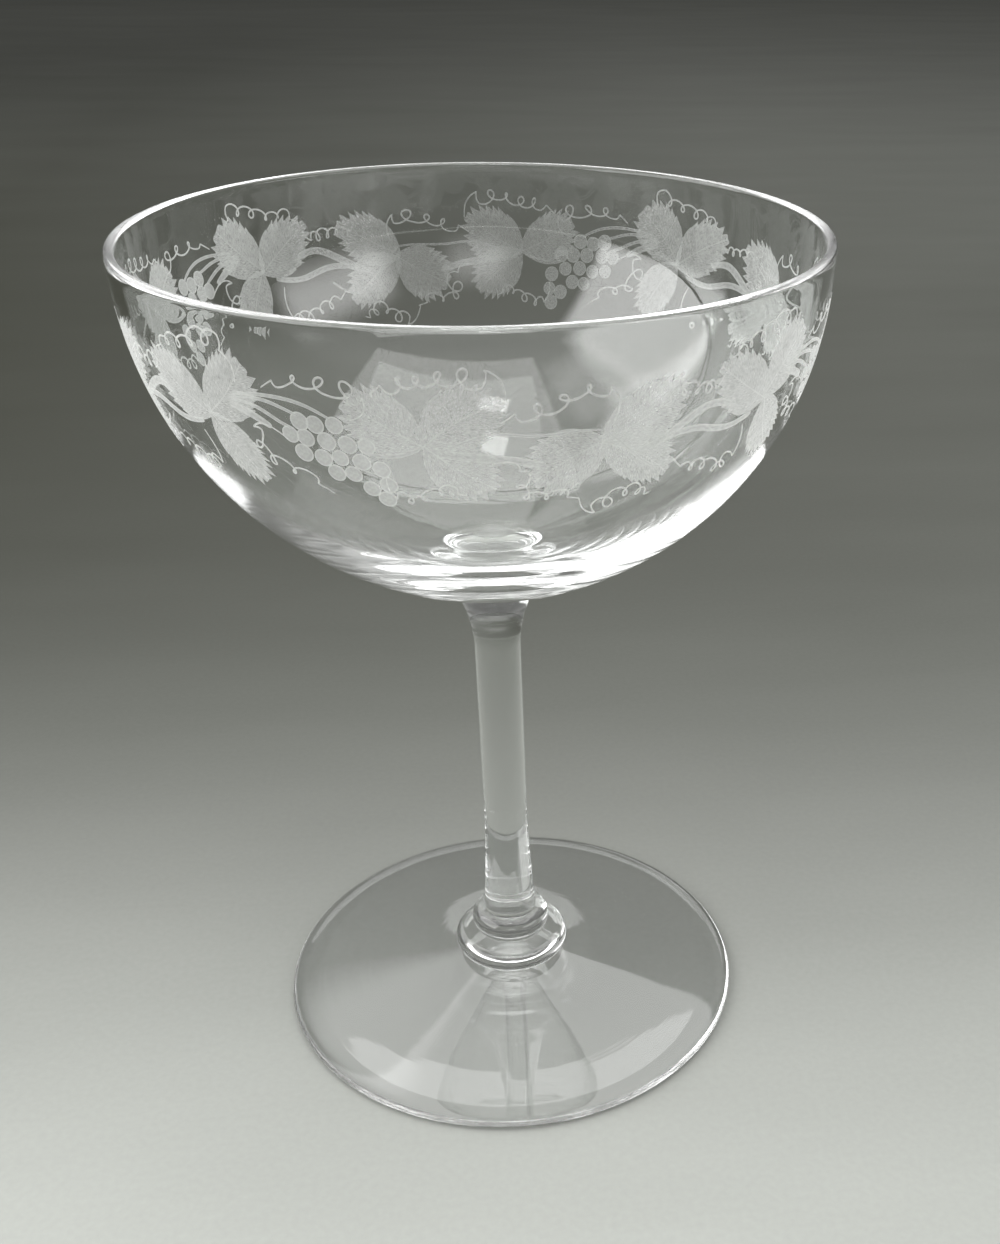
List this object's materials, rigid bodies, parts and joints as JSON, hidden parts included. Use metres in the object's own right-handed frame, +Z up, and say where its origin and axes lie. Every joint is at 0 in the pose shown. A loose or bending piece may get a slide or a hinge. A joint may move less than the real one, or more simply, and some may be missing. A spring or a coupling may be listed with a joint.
{
  "type": "coupe glass",
  "caption": "Coupe glass of clear glass: a deep round bowl with an engraved vine band, a slender stem with a bead and collar, and a wide thin domed foot.",
  "frame": {"origin": "centre of the foot on the table plane, the bottom centre of the glass's box", "axes": "+Z runs up the stem along the axis of revolution; X and Y are free, since every piece is round"},
  "size_m": [0.096, 0.096, 0.1313],
  "materials": {
    "bowl_glass": "clear colourless blown glass, fire-polished, thin",
    "stem_glass": "clear colourless solid glass, drawn and fire-polished",
    "collar_glass": "clear colourless solid glass, fire-polished",
    "foot_glass": "clear colourless glass disc, fire-polished, with a faint tooling mark",
    "engraved_frost": "matt white engraving cut into the outside of the bowl"
  },
  "bodies": {
    "root": {"bowl": "bowl_glass", "stem": "stem_glass", "foot_collar": "collar_glass", "foot": "foot_glass"}
  },
  "joints": []
}
